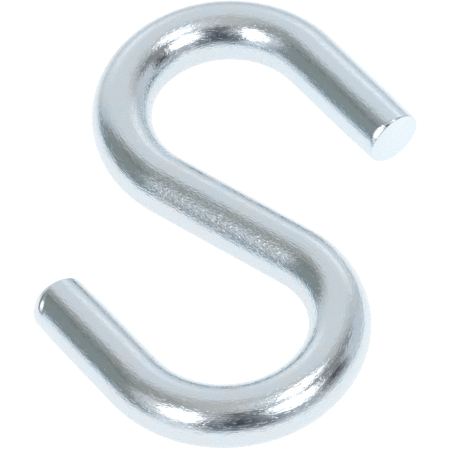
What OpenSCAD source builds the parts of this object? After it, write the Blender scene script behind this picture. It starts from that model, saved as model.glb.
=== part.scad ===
// S hook: one length of round steel bar, bent cold into two open hooks that face opposite ways.
// It lies flat on z = 0, centred on the origin. Its load line, from the centre of the lower
// crown to the centre of the upper crown, runs along +Y.

/* [Bar] */
// Diameter of the round bar
bar_d = 6; // [4:0.5:8]
// Straight run between the two throats
shank_l = 15.5; // [8:0.5:40]
// How much thinner the bar is where it was bent, on its radius
bend_thinning = 0.01; // [0.005:0.005:0.05]

/* [Upper hook] */
// Inside radius of the throat, the bend that leaves the shank
upper_throat_in_r = 7.8; // [5:0.1:15]
// Angle that the throat turns through
upper_throat_turn = 81; // [60:0.5:95]
// Inside radius of the crown, the bend that takes the load
upper_crown_in_r = 7.6; // [5:0.1:15]
// Angle that the crown turns through
upper_crown_turn = 115.5; // [90:0.5:125]
// Straight run from the crown to the cut end
upper_tail_l = 13.4; // [8:0.1:25]

/* [Lower hook] */
// Inside radius of the throat, the bend that leaves the shank
lower_throat_in_r = 6.6; // [5:0.1:15]
// Angle that the throat turns through
lower_throat_turn = 82; // [60:0.5:95]
// Inside radius of the crown, the bend that takes the load
lower_crown_in_r = 8.1; // [5:0.1:15]
// Angle that the crown turns through
lower_crown_turn = 114; // [90:0.5:125]
// Straight run from the crown to the cut end
lower_tail_l = 12.4; // [8:0.1:25]

/* [Cut ends] */
// Length of bar that the shear squeezed
pinch_l = 4.2; // [2:0.1:6]
// How far the squeezed bar draws in at the cut, on its radius
pinch_depth = 0.1; // [0.02:0.02:0.3]
// Radius of the rolled edge around the cut face
edge_r = 0.3; // [0.1:0.05:0.8]

/* [Hidden] */
$fn = 96;
bright_zinc = [0.74, 0.78, 0.82];
bar_r = bar_d / 2;
bend_r = bar_r - bend_thinning;
bend_lap = 0.2;
function lap_turn(radius) = bend_lap / radius * 180 / PI;

// A hook as a row: throat radius, throat turn, crown radius, crown turn, tail length.
// The radii here are those of the bar's axis.
upper = [upper_throat_in_r + bend_r, upper_throat_turn,
         upper_crown_in_r + bend_r, upper_crown_turn, upper_tail_l];
lower = [lower_throat_in_r + bend_r, lower_throat_turn,
         lower_crown_in_r + bend_r, lower_crown_turn, lower_tail_l];
function throat_r(hook) = hook[0];
function throat_turn(hook) = hook[1];
function crown_r(hook) = hook[2];
function crown_turn(hook) = hook[3];
function tail_l(hook) = hook[4];
function whole_turn(hook) = throat_turn(hook) + crown_turn(hook);

// Each hook is worked out from the middle of the shank: the bar leaves along +X and turns
// clockwise. The upper hook is then swung half a turn about that middle.
function along(turn) = [cos(turn), -sin(turn)];
function outward(turn) = [sin(turn), cos(turn)];
function throat_centre(hook) = [shank_l / 2, -throat_r(hook)];
// The two bends share a tangent, so their centres lie on one line through the joint
function crown_centre(hook) =
    throat_centre(hook) + (throat_r(hook) - crown_r(hook)) * outward(throat_turn(hook));
function tail_start(hook) = crown_centre(hook) + crown_r(hook) * outward(whole_turn(hook));
function tail_at(hook, distance) = tail_start(hook) + distance * along(whole_turn(hook));

// Turn that stands the load line upright
load_line = -crown_centre(upper) - crown_centre(lower);
stand_turn = 90 - atan2(load_line.y, load_line.x);
function stood(p) = [p.x * cos(stand_turn) - p.y * sin(stand_turn),
                     p.x * sin(stand_turn) + p.y * cos(stand_turn)];

// The pinched end's side leans in by draw_angle, and its edge round is tangent to side and face
draw_angle = atan(pinch_depth / pinch_l);
edge_ring_z = pinch_l - edge_r;
edge_ring_r = bar_r - edge_ring_z * tan(draw_angle) - edge_r / cos(draw_angle);

// How far a hook reaches from the shank's middle: below its crown, out past its throat, and
// out past its cut end
function reach_below(hook) = crown_r(hook) + bend_r - stood(crown_centre(hook)).y;
function reach_throat(hook) = stood(throat_centre(hook)).x + throat_r(hook) + bend_r;
function reach_end(hook) = edge_r - stood(tail_at(hook, tail_l(hook) - edge_r)).x
    + edge_ring_r * abs(sin(stand_turn - whole_turn(hook)));
high_x = max(reach_throat(lower), reach_end(upper));
low_x = -max(reach_throat(upper), reach_end(lower));
middle = [(high_x + low_x) / 2, (reach_below(upper) - reach_below(lower)) / 2];

// Bar bent about the origin, from one angle to another
module bend(radius, from, to) {
    rotate_extrude(start = from, angle = to - from) translate([radius, 0]) circle(r = bend_r);
}

// Throat and crown, about the throat's centre with their joint on +X. Each bend runs a short
// lap into the straight that it meets.
module throat_and_crown(hook) {
    bend(throat_r(hook), 0, throat_turn(hook) + lap_turn(throat_r(hook)));
    translate([throat_r(hook) - crown_r(hook), 0])
        bend(crown_r(hook), -crown_turn(hook) - lap_turn(crown_r(hook)), 0);
}

// Sheared end, along +Z: the bar draws in slightly and the cut's edge is rolled over
module sheared_end() {
    edge_ring = [edge_ring_r, edge_ring_z];
    rotate_extrude() {
        polygon([[0, 0], [bar_r, 0],
                 edge_ring + edge_r * [cos(draw_angle), sin(draw_angle)],
                 edge_ring + [0, edge_r], [0, pinch_l]]);
        translate(edge_ring) circle(r = edge_r);
    }
}

module tail(length) {
    cylinder(r = bar_r, h = length - pinch_l);
    translate([0, 0, length - pinch_l]) sheared_end();
}

module one_hook(hook) {
    translate(throat_centre(hook)) rotate(90 - throat_turn(hook)) throat_and_crown(hook);
    translate(tail_start(hook)) rotate([0, 90, -whole_turn(hook)]) tail(tail_l(hook));
}

module s_hook() {
    color(bright_zinc)
        translate([-middle.x, -middle.y, bar_r]) rotate(stand_turn) {
            rotate([0, 90, 0]) cylinder(r = bar_r, h = shank_l, center = true);
            one_hook(lower);
            rotate(180) one_hook(upper);
        }
}

s_hook();
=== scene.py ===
import math

import bmesh
import bpy
from mathutils import Matrix, Vector, noise


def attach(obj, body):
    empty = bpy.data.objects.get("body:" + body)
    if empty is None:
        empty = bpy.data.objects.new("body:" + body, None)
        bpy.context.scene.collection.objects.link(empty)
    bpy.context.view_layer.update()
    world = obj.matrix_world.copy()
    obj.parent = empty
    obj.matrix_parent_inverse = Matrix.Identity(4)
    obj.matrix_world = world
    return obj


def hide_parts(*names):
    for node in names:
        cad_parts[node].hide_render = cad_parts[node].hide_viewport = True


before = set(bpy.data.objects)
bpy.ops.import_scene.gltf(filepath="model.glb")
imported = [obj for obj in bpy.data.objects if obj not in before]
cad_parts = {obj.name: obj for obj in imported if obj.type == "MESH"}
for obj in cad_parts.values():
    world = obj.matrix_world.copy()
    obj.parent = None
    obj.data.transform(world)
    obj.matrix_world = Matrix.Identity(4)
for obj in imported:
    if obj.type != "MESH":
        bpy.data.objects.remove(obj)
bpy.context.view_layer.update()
scene = bpy.context.scene

metresPerMm = 0.001
upright = Vector((0, 0, 1))

# One length of bar. Millimetres and degrees, as the bender sets them.
bar = {
    "radius": 3.0,
    "ringPoints": 96,
    "straightStep": 0.9,  # between rings on a straight
    "bendStep": 2.0,  # degrees between rings in a bend
    "bendThinning": 0.01,
    "shankLength": 15.5,
    "shankMiddle": Vector((0.3036, -0.6233, 3.0)),
    "shankHeading": -34.6575,
    "lower": {
        "throatInside": 6.6, "throatTurn": 82.0,
        "crownInside": 8.1, "crownTurn": 114.0, "tail": 12.4,
    },
    "upper": {
        "throatInside": 7.8, "throatTurn": 81.0,
        "crownInside": 7.6, "crownTurn": 115.5, "tail": 13.4,
    },
}

# The sheared ends. Sides are degrees round the bar, from its camera side up over the top.
shear = {
    "pinchLength": 4.2,
    "pinchDepth": 0.1,
    "firstRings": (3.5, 2.9, 2.45, 2.1),  # left to the cut
    "ringReach": 1.9,
    "ringStep": 0.07,
    "edgeSegments": 5,
    "faceRings": (0.985, 0.83, 0.8, 0.74, 0.62, 0.42),  # shares of the ring before
    "faceRough": 0.03,
    "faceCoarse": 0.9,  # bumps per mm
    "faceFine": 2.3,
    "faceFineShare": 0.5,
    "faceSink": 0.6,
    # the blade's side rolls in, the cut leans, and a lip stands up beside the lower roll
    "upper": {
        "setBack": 0.28, "lean": 1.5, "edgeRound": 0.05,
        "rollSide": 51.0, "rollSpread": 13.0, "rollLeast": 0.14,
        "rollLength": 0.66, "rollDepth": 0.225, "rollPower": 1.5,
    },
    "lower": {
        "setBack": 0.08, "lean": -8.0, "edgeRound": 0.1,
        "rollSide": 15.0, "rollSpread": 6.0, "rollLeast": 0.12,
        "rollLength": 1.05, "rollDepth": 0.53, "rollPower": 2.0,
        "lip": {"side": 42.0, "spread": 22.0, "height": 0.2, "place": 1.15, "length": 0.6},
    },
}


def headingVector(degrees):
    return Vector((math.cos(math.radians(degrees)), math.sin(math.radians(degrees)), 0))


def ringEdges(made):
    verts = {g for g in made if isinstance(g, bmesh.types.BMVert)}
    return [g for g in made if isinstance(g, bmesh.types.BMEdge) and set(g.verts) <= verts]


def ringVerts(edges):
    return list(dict.fromkeys(v for e in edges for v in e.verts))


def pushOn(bm, ring, move):
    made = bmesh.ops.extrude_edge_only(bm, edges=ring)["geom"]
    ring = ringEdges(made)
    bmesh.ops.translate(bm, verts=ringVerts(ring), vec=move)
    return ring


def bendOn(bm, ring, centre, degrees):
    made = bmesh.ops.spin(
        bm, geom=ring + ringVerts(ring), cent=centre, axis=upright,
        angle=math.radians(degrees), steps=1, use_merge=False, use_duplicate=False,
    )["geom_last"]
    return ringEdges(made)


def markRing(ring, spot, bent, along, bend):
    for v in ringVerts(ring):
        v[spot].z = along
        v[bent] = bend


def makeHook(bm, ring, which, spot, bent):
    size = bar[which]
    sign = 1 if which == "lower" else -1  # the upper hook runs back along the bar
    heading = bar["shankHeading"] + (0 if which == "lower" else 180)
    place = bar["shankMiddle"].copy()
    along = 0.0

    def straight(length, steps):
        nonlocal ring, place, along
        for _ in range(steps):
            ring = pushOn(bm, ring, headingVector(heading) * length / steps)
            along += length / steps
            markRing(ring, spot, bent, sign * along, 0.0)
        place += headingVector(heading) * length

    def bend(radius, turn):
        nonlocal ring, place, along, heading
        steps = round(turn / bar["bendStep"])
        centre = place + headingVector(heading - 90) * radius
        for _ in range(steps):
            ring = bendOn(bm, ring, centre, -turn / steps)
            along += math.radians(turn / steps) * radius
            markRing(ring, spot, bent, sign * along, 1.0)
        heading -= turn
        place = centre + headingVector(heading + 90) * radius

    bendRadius = bar["radius"] - bar["bendThinning"]
    straight(bar["shankLength"] / 2, round(bar["shankLength"] / 2 / bar["straightStep"]))
    bend(size["throatInside"] + bendRadius, size["throatTurn"])
    bend(size["crownInside"] + bendRadius, size["crownTurn"])
    plain = size["tail"] - shear["pinchLength"]
    straight(plain, round(plain / bar["straightStep"]))

    # pinched end, ring by ring to the cut
    setBack = shear[which]["setBack"]
    axis = headingVector(heading)
    side = headingVector(heading + 90 * sign)  # the bar's camera side
    tip = place + axis * (shear["pinchLength"] - setBack)
    cutAlong = along + shear["pinchLength"] - setBack
    closeRings = round(shear["ringReach"] / shear["ringStep"])
    close = [shear["ringReach"] * (1 - i / closeRings) for i in range(closeRings + 1)]
    left = shear["pinchLength"] - setBack
    rings = []
    for still in [*shear["firstRings"], *close]:
        ring = pushOn(bm, ring, axis * (left - still))
        markRing(ring, spot, bent, sign * (cutAlong - still), 0.0)
        rings.append((ring, still))
        left = still
    cutEnd(bm, rings, which, tip, axis, side, spot, sign * cutAlong)


def leanVector(end, side):
    return side * math.tan(math.radians(end["lean"]))


def rollAt(off, end, side):
    turn = math.degrees(math.atan2(off.dot(upright), off.dot(side)))
    around = ((1 + math.cos(math.radians(turn - end["rollSide"]))) / 2) ** end["rollSpread"]
    share = end["rollLeast"] + (1 - end["rollLeast"]) * around  # the roll keeps its slope as it narrows
    return turn, share


def lipAt(lip, turn, still, share):
    fromLip = min(1, abs(still - lip["place"] * share) / (lip["length"] * share))
    around = math.exp(-((turn - lip["side"]) / lip["spread"]) ** 2)
    return lip["height"] * share * (0.5 + 0.5 * math.cos(math.pi * fromLip)) * around


def rollIn(v, still, end, middle, axis, side):
    off = v.co - middle
    turn, share = rollAt(off, end, side)
    inRoll = max(0, 1 - still / (end["rollLength"] * share))
    rolled = end["rollDepth"] * share * inRoll ** end["rollPower"]
    lip = lipAt(end["lip"], turn, still, share) if "lip" in end else 0.0
    off += off.normalized() * (lip - rolled)
    leaned = off.dot(leanVector(end, side)) * max(0, 1 - still / shear["ringReach"])
    v.co = middle + off - axis * leaned


def cutEnd(bm, rings, which, tip, axis, side, spot, cutAlong):
    end = shear[which]
    for ring, still in rings:
        middle = tip - axis * still
        pinched = 1 - (still + end["setBack"]) / shear["pinchLength"]
        drawn = 1 - shear["pinchDepth"] * pinched / bar["radius"]
        bmesh.ops.scale(bm, verts=ringVerts(ring), vec=(drawn,) * 3, space=Matrix.Translation(-middle))
        for v in ringVerts(ring):
            rollIn(v, still, end, middle, axis, side)

    # edge round, from the roll's slope over to the cut
    cutWay = (axis + leanVector(end, side)).normalized()
    start = math.atan(end["rollPower"] * end["rollDepth"] / end["rollLength"])
    sweep = math.pi / 2 - start
    segments = shear["edgeSegments"]
    steps = [start + sweep * i / segments for i in range(segments + 1)]
    edge = []
    for a, b in zip(steps, steps[1:]):
        ring = pushOn(bm, ring, Vector())
        for v in ringVerts(ring):
            off = v.co - tip
            off -= cutWay * off.dot(cutWay)
            forward = cutWay * (math.sin(b) - math.sin(a))
            inward = off.normalized() * (math.cos(a) - math.cos(b))
            v.co += (forward - inward) * end["edgeRound"]
        edge += ringVerts(ring)

    # cut face, ring by ring to the middle
    centre = sum((v.co for v in ringVerts(ring)), Vector()) / bar["ringPoints"]
    faces = []
    inner = []
    for share in shear["faceRings"]:
        ring = pushOn(bm, ring, Vector())
        about = Matrix.Translation(-centre)
        bmesh.ops.scale(bm, verts=ringVerts(ring), vec=(share,) * 3, space=about)
        faces += [f for e in ring for f in e.link_faces]
        inner.append(ringVerts(ring))
    cap = bmesh.ops.edgeloop_fill(bm, edges=ring)["faces"]
    poked = bmesh.ops.poke(bm, faces=cap)
    faces += poked["faces"]
    inner.append(poked["verts"])
    for f in faces:
        f.material_index = 1
    for v in (v for verts in inner[1:] for v in verts):
        fine = noise.noise(v.co * shear["faceFine"])
        lift = noise.noise(v.co * shear["faceCoarse"]) + shear["faceFineShare"] * fine
        v.co += axis * shear["faceRough"] * (lift - shear["faceSink"])
    # places on the straight bar, for the finish
    way = math.copysign(1, cutAlong)
    for v in edge + [v for verts in inner for v in verts]:
        off = v.co - tip
        v[spot] = (off.dot(side), off.dot(upright), cutAlong + way * off.dot(axis))
    print("sheared end:", which, len(faces), "faces on the cut")


def makeBar():
    bm = bmesh.new()
    spot = bm.verts.layers.float_vector.new("barSpot")
    bent = bm.verts.layers.float.new("bent")
    heading = headingVector(bar["shankHeading"])
    side = headingVector(bar["shankHeading"] + 90)
    stand = Matrix((side, upright, heading)).transposed().to_4x4()
    stand.translation = bar["shankMiddle"]
    bmesh.ops.create_circle(
        bm, cap_ends=False, segments=bar["ringPoints"], radius=bar["radius"], matrix=stand)
    first = list(bm.edges)
    for v in bm.verts:
        off = v.co - bar["shankMiddle"]
        v[spot] = (off.dot(side), off.dot(upright), 0)
    makeHook(bm, first, "lower", spot, bent)
    makeHook(bm, first, "upper", spot, bent)
    bmesh.ops.recalc_face_normals(bm, faces=bm.faces)
    bmesh.ops.scale(bm, verts=bm.verts, vec=(metresPerMm,) * 3)
    for f in bm.faces:
        f.smooth = True
    mesh = bpy.data.meshes.new("bentBar")
    bm.to_mesh(mesh)
    bm.free()
    piece = bpy.data.objects.new("bentBar", mesh)
    scene.collection.objects.link(piece)
    print("bent bar:", len(mesh.polygons), "faces")
    return piece


# Node helpers
def addNode(tree, kind, **values):
    node = tree.nodes.new(kind)
    for name, value in values.items():
        setattr(node, name, value)
    return node


def setInputs(node, **values):
    for name, value in values.items():
        node.inputs[name.replace("_", " ")].default_value = value
    return node


def mathNode(tree, operation, a, b=None, c=None):
    node = addNode(tree, "ShaderNodeMath", operation=operation)
    for socket, value in zip(node.inputs, (a, b, c)):
        if value is None:
            continue
        if isinstance(value, (int, float)):
            socket.default_value = value
        else:
            tree.links.new(value, socket)
    return node.outputs[0]


def mixColour(tree, factor, a, b):
    node = addNode(tree, "ShaderNodeMix", data_type="RGBA")
    for socket, value in ((node.inputs[0], factor), (node.inputs[6], a), (node.inputs[7], b)):
        if isinstance(value, bpy.types.NodeSocket):
            tree.links.new(value, socket)
        elif isinstance(value, tuple):
            socket.default_value = (*value, 1.0)
        else:
            socket.default_value = value
    return node.outputs[2]


def mapRange(tree, value, fromMin, fromMax, toMin, toMax, smooth=False):
    kind = "SMOOTHSTEP" if smooth else "LINEAR"
    node = addNode(tree, "ShaderNodeMapRange", interpolation_type=kind)
    tree.links.new(value, node.inputs["Value"])
    limits = {"From Min": fromMin, "From Max": fromMax, "To Min": toMin, "To Max": toMax}
    for name, number in limits.items():
        if isinstance(number, bpy.types.NodeSocket):
            tree.links.new(number, node.inputs[name])
        else:
            node.inputs[name].default_value = number
    return node.outputs["Result"]


def noiseNode(tree, vector, detail, rough, scale):
    mapping = addNode(tree, "ShaderNodeMapping")
    mapping.inputs["Scale"].default_value = scale
    tree.links.new(vector, mapping.inputs["Vector"])
    node = addNode(tree, "ShaderNodeTexNoise", noise_dimensions="3D")
    setInputs(node, Scale=1.0, Detail=detail, Roughness=rough)
    tree.links.new(mapping.outputs["Vector"], node.inputs["Vector"])
    return node.outputs["Fac"]


def newMaterial(name):
    material = bpy.data.materials.new(name)
    material.use_nodes = True
    tree = material.node_tree
    tree.nodes.clear()
    shader = addNode(tree, "ShaderNodeBsdfPrincipled")
    out = addNode(tree, "ShaderNodeOutputMaterial")
    tree.links.new(shader.outputs["BSDF"], out.inputs["Surface"])
    return material, tree, shader, out


# Patterns of the plate: noise detail, noise roughness, scale per mm across and along the bar
patterns = {
    "Peel": (1.0, 0.5, (6.5, 6.5, 2.4)),
    "Streak": (2.0, 0.5, (7.0, 7.0, 1.3)),
    "Pit": (1.0, 0.5, (6.5, 6.5, 1.6)),
    "Die": (2.0, 0.5, (3.5, 3.5, 0.05)),
    "Cloud": (3.0, 0.55, (0.35, 0.35, 0.35)),
}
pitEdge = (0.54, 0.68)
cloudEdge = (0.35, 0.65)
noiseSpan = (0.3, 0.7)  # most of a noise's values


def makeGrain():
    tree = bpy.data.node_groups.new("platedGrain", "ShaderNodeTree")
    tree.interface.new_socket("Spot", in_out="INPUT", socket_type="NodeSocketVector")
    for name in patterns:
        tree.interface.new_socket(name, in_out="OUTPUT", socket_type="NodeSocketFloat")
    spot = addNode(tree, "NodeGroupInput").outputs["Spot"]
    out = addNode(tree, "NodeGroupOutput")
    for name, (detail, rough, scale) in patterns.items():
        value = noiseNode(tree, spot, detail, rough, scale)
        if name == "Pit":
            value = mapRange(tree, value, *pitEdge, 0.0, 1.0, True)
        tree.links.new(value, out.inputs[name])
    return tree


def startPlate(name, grain):
    material, tree, shader, _ = newMaterial(name)
    shader.inputs["Metallic"].default_value = 1.0
    spot = addNode(tree, "ShaderNodeAttribute", attribute_name="barSpot").outputs["Vector"]
    group = addNode(tree, "ShaderNodeGroup", node_tree=grain)
    tree.links.new(spot, group.inputs["Spot"])
    return material, tree, shader, spot, group.outputs


def cloudMix(tree, pattern, a, b):
    return mixColour(tree, mapRange(tree, pattern["Cloud"], *cloudEdge, 0.0, 1.0, True), a, b)


def raiseBump(tree, shader, height):
    bump = addNode(tree, "ShaderNodeBump")
    setInputs(bump, Strength=1.0, Distance=1.0)
    tree.links.new(height, bump.inputs["Height"])
    tree.links.new(bump.outputs["Normal"], shader.inputs["Normal"])


# Bright zinc plate over drawn bar. Places in mm on the straight bar, heights in metres.
zinc = {
    "blueCast": (0.655, 0.725, 0.775),
    "strawCast": (0.685, 0.722, 0.748),
    "brightCast": (0.685, 0.757, 0.808),  # the plate is brighter towards the upper end
    "brightFrom": (-25.0, -60.0),
    "roughness": (0.105, 0.175),
    "peelHeight": (0.000008, 0.000005),  # on the straights, in the bends
    "streakHeight": (0.000013, 0.0000145),
    "pitHeight": (0.000005, 0.000007),
    "dieHeight": 0.000010,
    # scuffed strip along the shank, where the bender holds it
    "scuffHeight": 0.000036,
    "scuffEnds": (7.0, 11.0),
    "scuffSide": 128.0,
    "scuffEdge": (2.3, 2.85),
}


def scuffStrip(tree, spot, along):
    fromMiddle = mathNode(tree, "ABSOLUTE", along)
    height = mapRange(tree, fromMiddle, *zinc["scuffEnds"], zinc["scuffHeight"], 0.0, True)
    facing = addNode(tree, "ShaderNodeVectorMath", operation="DOT_PRODUCT")
    tree.links.new(spot, facing.inputs[0])
    facing.inputs[1].default_value = headingVector(zinc["scuffSide"])
    strip = mapRange(tree, facing.outputs["Value"], *zinc["scuffEdge"], 0.0, 1.0, True)
    return height, strip


def makeZinc(grain):
    material, tree, shader, spot, pattern = startPlate("zincPlate", grain)
    bent = addNode(tree, "ShaderNodeAttribute", attribute_name="bent").outputs["Fac"]
    parts = addNode(tree, "ShaderNodeSeparateXYZ")
    tree.links.new(spot, parts.inputs[0])
    along = parts.outputs["Z"]
    colour = cloudMix(tree, pattern, zinc["blueCast"], zinc["strawCast"])
    bright = mapRange(tree, along, *zinc["brightFrom"], 0.0, 1.0, True)
    colour = mixColour(tree, bright, colour, zinc["brightCast"])
    tree.links.new(colour, shader.inputs["Base Color"])
    rough = mapRange(tree, pattern["Streak"], *noiseSpan, *zinc["roughness"])
    tree.links.new(rough, shader.inputs["Roughness"])
    height = mathNode(tree, "MULTIPLY", pattern["Die"], zinc["dieHeight"])
    for name in ("Peel", "Streak", "Pit"):
        onStraight, inBend = zinc[name.lower() + "Height"]
        share = mapRange(tree, bent, 0.0, 1.0, onStraight, inBend)
        if name == "Peel":
            share = mathNode(tree, "MULTIPLY_ADD", *scuffStrip(tree, spot, along), share)
        height = mathNode(tree, "MULTIPLY_ADD", pattern[name], share, height)
    raiseBump(tree, shader, height)
    return material


# The torn metal of the cuts, plated too
cutZinc = {
    "pale": (0.735, 0.81, 0.84),
    "shade": (0.725, 0.785, 0.84),
    "roughness": (0.18, 0.28),
    "tearHeight": 0.000002,
}


def makeCutZinc(grain):
    material, tree, shader, _, pattern = startPlate("shearedZinc", grain)
    colour = cloudMix(tree, pattern, cutZinc["pale"], cutZinc["shade"])
    tree.links.new(colour, shader.inputs["Base Color"])
    rough = mapRange(tree, pattern["Peel"], *noiseSpan, *cutZinc["roughness"])
    tree.links.new(rough, shader.inputs["Roughness"])
    raiseBump(tree, shader, mathNode(tree, "MULTIPLY", pattern["Peel"], cutZinc["tearHeight"]))
    return material


# Studio. Azimuth 0 is the side the camera is on, positive to its right.
studio = {
    "roomLevel": 1.136,
    "horizon": (0.60, 0.63, 0.66),
    "ceiling": (0.54, 0.545, 0.53),
    "ceilingFrom": 80.0,
    "floorHides": (-3.0, -2.0),  # what lies lower is out of sight
}
# name: azimuth, elevation, half width, half height, edge softness, squareness, colour
walls = {
    "farWall": (-173, 22, 46, 45.5, 0.17, 4, (0.74, 0.765, 0.785)),
    "farGlowLeft": (-157, 19, 12, 9, 0.9, 2, (0.98, 1.0, 1.02)),
    "farGlowRight": (157, 27, 17, 6.5, 0.9, 2, (1.02, 1.05, 1.07)),
    "farSkirt": (165, 1, 35, 3, 0.6, 3, (0.46, 0.55, 0.62)),
    "leftHigh": (-86, 60, 42, 16, 0.3, 4, (0.362, 0.374, 0.36)),
    "greenDrape": (-89.5, 23, 27.8, 31, 0.16, 5, (0.262, 0.294, 0.285)),
    "blueSkirt": (-92, 2, 34, 4, 0.5, 3, (0.20, 0.30, 0.38)),
    "drapeRail": (-90, 46, 17, 4, 0.4, 3, (0.20, 0.225, 0.22)),
    "cameraSide": (6, 33, 46, 31, 0.25, 4, (0.178, 0.198, 0.222)),
    "rightDark": (92, 33.5, 32, 25, 0.25, 4, (0.275, 0.278, 0.283)),
    "lilacCard": (110, 16.5, 17, 19, 0.10, 6, (0.63, 0.67, 0.71)),
    "leftTable": (-32.5, 3, 17, 10, 0.35, 3, (0.83, 0.86, 0.89)),
    "rightTable": (50, 10, 14, 13, 0.5, 3, (0.47, 0.49, 0.52)),
    "leftGap": (-59, 6, 10, 9, 0.6, 2, (0.24, 0.30, 0.34)),
    "leftSpill": (-60, 41, 13, 14, 0.7, 2, (0.69, 0.71, 0.72)),
    "leftHood": (-11.5, 48.5, 13, 11, 0.7, 2, (0.54, 0.55, 0.56)),
    "rightSpill": (51.5, 38.5, 21, 16, 0.9, 2, (0.57, 0.58, 0.59)),
    "stripSpill": (85, 80, 60, 12, 0.8, 2, (0.75, 0.75, 0.75)),
    "rightCore": (83, 25, 10, 8, 0.6, 2, (0.07, 0.07, 0.075)),
    "cameraCore": (9, 31, 11, 12, 0.7, 2, (0.05, 0.062, 0.085)),
    "cameraTop": (8, 58, 13, 8, 0.5, 2, (0.13, 0.14, 0.15)),
    "softboxLeft": (-34.8, 38.9, 15.6, 19.5, 0.32, 2.5, (2.15, 2.15, 2.15)),
    "leftNotch": (-48, 20.5, 9, 7, 0.6, 2, (0.62, 0.63, 0.64)),
    "softboxRight": (53, 43.2, 20.1, 14.2, 0.3, 2.4, (2.15, 2.15, 2.15)),
    "stripAbove": (97, 68.8, 29.4, 7.4, 0.28, 2.6, (2.15, 2.15, 2.15)),
}
maskInputs = (
    "Azimuth", "Elevation", "At Azimuth", "At Elevation", "Half Width", "Half Height", "Soft", "Square",
)


def makeWallMask():
    tree = bpy.data.node_groups.new("wallMask", "ShaderNodeTree")
    for name in maskInputs:
        tree.interface.new_socket(name, in_out="INPUT", socket_type="NodeSocketFloat")
    tree.interface.new_socket("Mask", in_out="OUTPUT", socket_type="NodeSocketFloat")
    given = addNode(tree, "NodeGroupInput").outputs
    turned = mathNode(tree, "SUBTRACT", given["Azimuth"], given["At Azimuth"])
    turned = mathNode(tree, "ABSOLUTE", mathNode(tree, "WRAP", turned, 180.0, -180.0))
    wide = mathNode(tree, "DIVIDE", turned, given["Half Width"])
    raised = mathNode(tree, "SUBTRACT", given["Elevation"], given["At Elevation"])
    high = mathNode(tree, "DIVIDE", mathNode(tree, "ABSOLUTE", raised), given["Half Height"])
    wide = mathNode(tree, "POWER", wide, given["Square"])
    high = mathNode(tree, "POWER", high, given["Square"])
    root = mathNode(tree, "DIVIDE", 1.0, given["Square"])
    reach = mathNode(tree, "POWER", mathNode(tree, "ADD", wide, high), root)
    outer = mathNode(tree, "ADD", 1.0, given["Soft"])
    inner = mathNode(tree, "SUBTRACT", 1.0, given["Soft"])
    mask = mapRange(tree, reach, inner, outer, 1.0, 0.0, True)
    tree.links.new(mask, addNode(tree, "NodeGroupOutput").inputs["Mask"])
    return tree


def makeRoom():
    world = bpy.data.worlds.new("studioRoom")
    world.use_nodes = True
    tree = world.node_tree
    tree.nodes.clear()
    place = addNode(tree, "ShaderNodeTexCoord").outputs["Generated"]
    parts = addNode(tree, "ShaderNodeSeparateXYZ")
    tree.links.new(place, parts.inputs[0])
    x, y, z = parts.outputs
    towards = mathNode(tree, "MULTIPLY", y, -1.0)
    azimuth = mathNode(tree, "DEGREES", mathNode(tree, "ARCTAN2", x, towards))
    elevation = mathNode(tree, "DEGREES", mathNode(tree, "ARCSINE", z))
    rise = mapRange(tree, elevation, 0.0, studio["ceilingFrom"], 0.0, 1.0, True)
    colour = mixColour(tree, rise, studio["horizon"], studio["ceiling"])
    mask = makeWallMask()
    for name, (atAzimuth, atElevation, wide, high, soft, square, paint) in walls.items():
        wall = addNode(tree, "ShaderNodeGroup", node_tree=mask, label=name)
        tree.links.new(azimuth, wall.inputs["Azimuth"])
        tree.links.new(elevation, wall.inputs["Elevation"])
        setInputs(
            wall, At_Azimuth=atAzimuth, At_Elevation=atElevation,
            Half_Width=wide, Half_Height=high, Soft=soft, Square=square,
        )
        colour = mixColour(tree, wall.outputs["Mask"], colour, paint)
    above = mapRange(tree, elevation, *studio["floorHides"], 0.0, 1.0)
    colour = mixColour(tree, above, (0.0, 0.0, 0.0), colour)
    back = addNode(tree, "ShaderNodeBackground")
    tree.links.new(colour, back.inputs["Color"])
    back.inputs["Strength"].default_value = studio["roomLevel"]
    tree.links.new(back.outputs[0], addNode(tree, "ShaderNodeOutputWorld").inputs["Surface"])
    scene.world = world
    print("studio room:", len(walls), "walls")


# A painted pool of light round the hook: the floor itself glows, brighter near the hook and dimmer
# farther out. The photo's floor is bleached, so the camera sees it nearly white.
floorPool = {
    "radius": 4.0,
    "segments": 64,
    "roughness": 0.8,
    "shine": 0.1,
    "colour": (0.45, 0.433, 0.42),
    "centre": (0.005, -0.01, 0.0),
    "reach": (0.026, 0.085),
    "nearPaintedGlow": (0.785, 0.81, 0.824),
    "farPaintedGlow": (0.30, 0.365, 0.405),
    "bleach": 0.75,
    "bleachLevel": 1.1,
}


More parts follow.
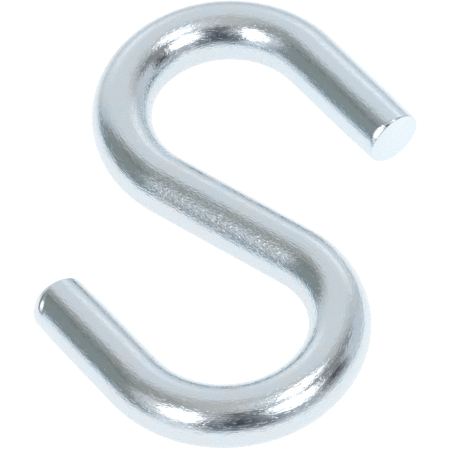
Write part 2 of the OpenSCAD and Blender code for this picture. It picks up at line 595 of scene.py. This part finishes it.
def makeFloor():
    bm = bmesh.new()
    bmesh.ops.create_circle(
        bm, cap_ends=True, segments=floorPool["segments"], radius=floorPool["radius"])
    mesh = bpy.data.meshes.new("studioFloor")
    bm.to_mesh(mesh)
    bm.free()
    floor = bpy.data.objects.new("studioFloor", mesh)
    scene.collection.objects.link(floor)
    material, tree, shader, out = newMaterial("paleFloor")
    material.cycles.emission_sampling = "NONE"
    shader.inputs["Base Color"].default_value = (*floorPool["colour"], 1)
    shader.inputs["Roughness"].default_value = floorPool["roughness"]
    shader.inputs["Specular IOR Level"].default_value = floorPool["shine"]
    shader.inputs["Emission Strength"].default_value = 1.0
    away = addNode(tree, "ShaderNodeVectorMath", operation="DISTANCE")
    tree.links.new(addNode(tree, "ShaderNodeTexCoord").outputs["Object"], away.inputs[0])
    away.inputs[1].default_value = floorPool["centre"]
    # painted pool of light: the floor's emission fades from the near glow to the far glow with distance
    # from the hook
    share = mapRange(tree, away.outputs["Value"], *floorPool["reach"], 0.0, 1.0, True)
    glow = mixColour(tree, share, floorPool["nearPaintedGlow"], floorPool["farPaintedGlow"])
    tree.links.new(glow, shader.inputs["Emission Color"])
    white = setInputs(addNode(tree, "ShaderNodeEmission"), Strength=floorPool["bleachLevel"])
    seen = addNode(tree, "ShaderNodeMixShader")
    toCamera = addNode(tree, "ShaderNodeLightPath").outputs["Is Camera Ray"]
    tree.links.new(mathNode(tree, "MULTIPLY", toCamera, floorPool["bleach"]), seen.inputs[0])
    tree.links.new(shader.outputs["BSDF"], seen.inputs[1])
    tree.links.new(white.outputs["Emission"], seen.inputs[2])
    tree.links.new(seen.outputs["Shader"], out.inputs["Surface"])
    mesh.materials.append(material)
    print("floor ready")


# Camera, from the outline of the hook in the photo
view = {
    "azimuth": 3.189,
    "elevation": 53.879,
    "roll": 3.291,
    "target": Vector((-0.000289, -0.001139, 0.003)),
    "distance": 0.34876,
    "lens": 286.2,
    "sensor": 36.0,
    "clip": (0.02, 20.0),
}


def direction(azimuth, elevation):
    a, e = math.radians(azimuth), math.radians(elevation)
    return Vector((math.sin(a) * math.cos(e), -math.cos(a) * math.cos(e), math.sin(e)))


def makeCamera():
    cameraData = bpy.data.cameras.new("photoCamera")
    cameraData.lens = view["lens"]
    cameraData.sensor_width = view["sensor"]
    cameraData.clip_start, cameraData.clip_end = view["clip"]
    camera = bpy.data.objects.new("photoCamera", cameraData)
    back = direction(view["azimuth"], view["elevation"])
    right = upright.cross(back).normalized()
    up = back.cross(right)
    roll = Matrix.Rotation(math.radians(-view["roll"]), 3, "Z")
    stand = (Matrix((right, up, back)).transposed() @ roll).to_4x4()
    camera.matrix_world = Matrix.Translation(view["target"] + back * view["distance"]) @ stand
    scene.collection.objects.link(camera)
    scene.camera = camera
    print("camera set")


makeCamera()
hook = makeBar()
grain = makeGrain()
hook.data.materials.append(makeZinc(grain))
hook.data.materials.append(makeCutZinc(grain))
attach(hook, "root")
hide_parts("s_hook")
makeFloor()
makeRoom()
scene.view_settings.view_transform = "Standard"
scene.cycles.use_denoising = False  # it takes the plate's fine speckle for noise
